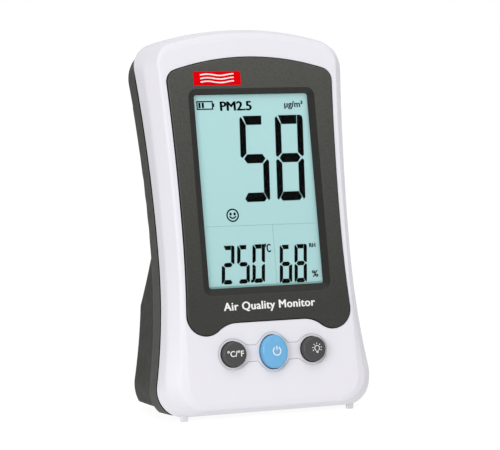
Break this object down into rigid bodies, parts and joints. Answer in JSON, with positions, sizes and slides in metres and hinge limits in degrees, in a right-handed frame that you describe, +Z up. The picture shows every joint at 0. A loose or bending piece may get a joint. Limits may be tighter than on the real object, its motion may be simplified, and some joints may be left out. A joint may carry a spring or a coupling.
{
  "type": "air quality monitor",
  "caption": "Free-standing desktop air quality monitor: waisted white front shell, tall segment display in a dark panel, press buttons below, dark vented rear shell.",
  "frame": {"origin": "centre of the footprint at table level, the bottom centre of the overall box", "axes": "+Z up, +X to the right seen from the front, the display faces -Y and leans back"},
  "size_m": [0.09, 0.0522, 0.1495],
  "materials": {
    "white_plastic": "fine satin",
    "panel_plastic": "fine grain",
    "rear_plastic": "fine grain",
    "grey_cap": "fine grain",
    "blue_cap": "satin",
    "clear_window": "clear",
    "lcd_glass": "lit segment display",
    "light_guide": "milky",
    "strip_rubber": "striped silicone",
    "inner_plastic": "plain",
    "black_plastic": "plain",
    "board": "soldermask",
    "chip": "moulded",
    "steel": "plated",
    "brass": "turned",
    "cell": "foil pouch",
    "tape": "film",
    "lead": "insulated",
    "ribbon": "flat cable",
    "foam": "open cell foam",
    "foot_rubber": "soft",
    "label": "printed film, blank"
  },
  "bodies": {
    "case": {"front_shell": "white_plastic", "face_panel": "panel_plastic", "display_window": "clear_window", "lcd_glass": "lcd_glass", "light_guide": "light_guide", "contact_strip": "strip_rubber", "display_holder": "inner_plastic", "button_switches": "black_plastic", "main_board": "board", "board_screws": "steel", "board_chips": "chip", "buzzer": "black_plastic", "battery_cell": "cell", "battery_tape": "tape", "battery_leads": "lead", "battery_plug": "inner_plastic", "rear_shell": "rear_plastic", "rear_feet": "foot_rubber", "case_screws": "steel", "rear_label": "label", "sensor_case": "black_plastic", "sensor_lid": "inner_plastic", "sensor_board": "board", "laser_module": "brass", "fan_shaft": "steel", "sensor_gasket": "foam", "sensor_ribbon": "ribbon", "charge_board": "board", "usb_socket": "steel", "charge_ribbon": "ribbon", "climate_sensor": "board", "climate_ribbon": "ribbon"},
    "unit_button": {"unit_button": "grey_cap", "unit_plunger": "black_plastic"},
    "power_button": {"power_button": "blue_cap", "power_plunger": "black_plastic"},
    "light_button": {"light_button": "grey_cap", "light_plunger": "black_plastic"},
    "fan_rotor": {"fan_rotor": "black_plastic"}
  },
  "joints": [
    {"name": "unit_button_press", "type": "slide", "parent": "case", "child": "unit_button", "axis": [0, 0.9764, -0.2158], "range_m": [0, 0.0008], "stiffness_N_per_m": 1500},
    {"name": "power_button_press", "type": "slide", "parent": "case", "child": "power_button", "axis": [0, 0.9764, -0.2158], "range_m": [0, 0.0008], "stiffness_N_per_m": 1500},
    {"name": "light_button_press", "type": "slide", "parent": "case", "child": "light_button", "axis": [0, 0.9764, -0.2158], "range_m": [0, 0.0008], "stiffness_N_per_m": 1500},
    {"name": "fan_spin", "type": "hinge", "parent": "case", "child": "fan_rotor", "pos_m": [-0.0225, 0.01351, 0.01799], "axis": [0, -0.9764, 0.2158], "continuous": true}
  ]
}
